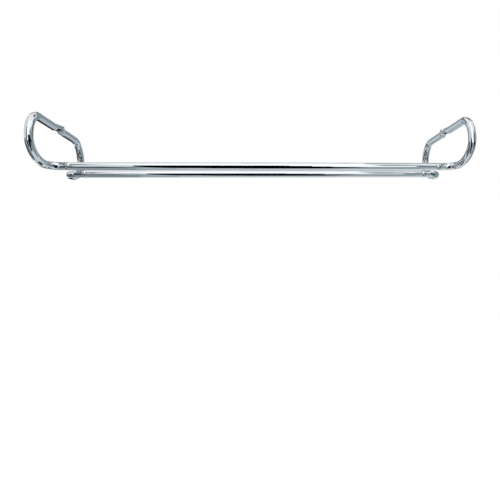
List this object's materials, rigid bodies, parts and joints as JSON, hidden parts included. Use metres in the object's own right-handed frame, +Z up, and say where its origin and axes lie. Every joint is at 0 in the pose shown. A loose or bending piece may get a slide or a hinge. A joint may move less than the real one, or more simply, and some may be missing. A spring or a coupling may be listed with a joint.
{
  "type": "hanging wine glass rack",
  "caption": "Chromed wire channel that screws up under a shelf and holds stemware by the foot, with straight rails and a bowed, drilled loop at each end.",
  "frame": {"origin": "middle of the plane that the crossbars of both end bows touch when the rack is screwed up under a shelf", "axes": "+X along the rails, towards the picture's right; -Y towards the viewer; +Z up, out of the mounting plane"},
  "size_m": [0.334, 0.11, 0.0392],
  "materials": {
    "chrome_wire": "bright chrome plating over drawn steel wire, with fine drawing and handling marks",
    "chrome_weld": "chrome plating over a butt weld ground nearly flush, slightly duller than the wire"
  },
  "bodies": {
    "root": {"bow_left": "chrome_wire", "bow_right": "chrome_wire", "rail_front": "chrome_wire", "rail_back": "chrome_wire", "weld_front_left": "chrome_weld", "weld_front_right": "chrome_weld", "weld_back_left": "chrome_weld", "weld_back_right": "chrome_weld"}
  },
  "joints": []
}
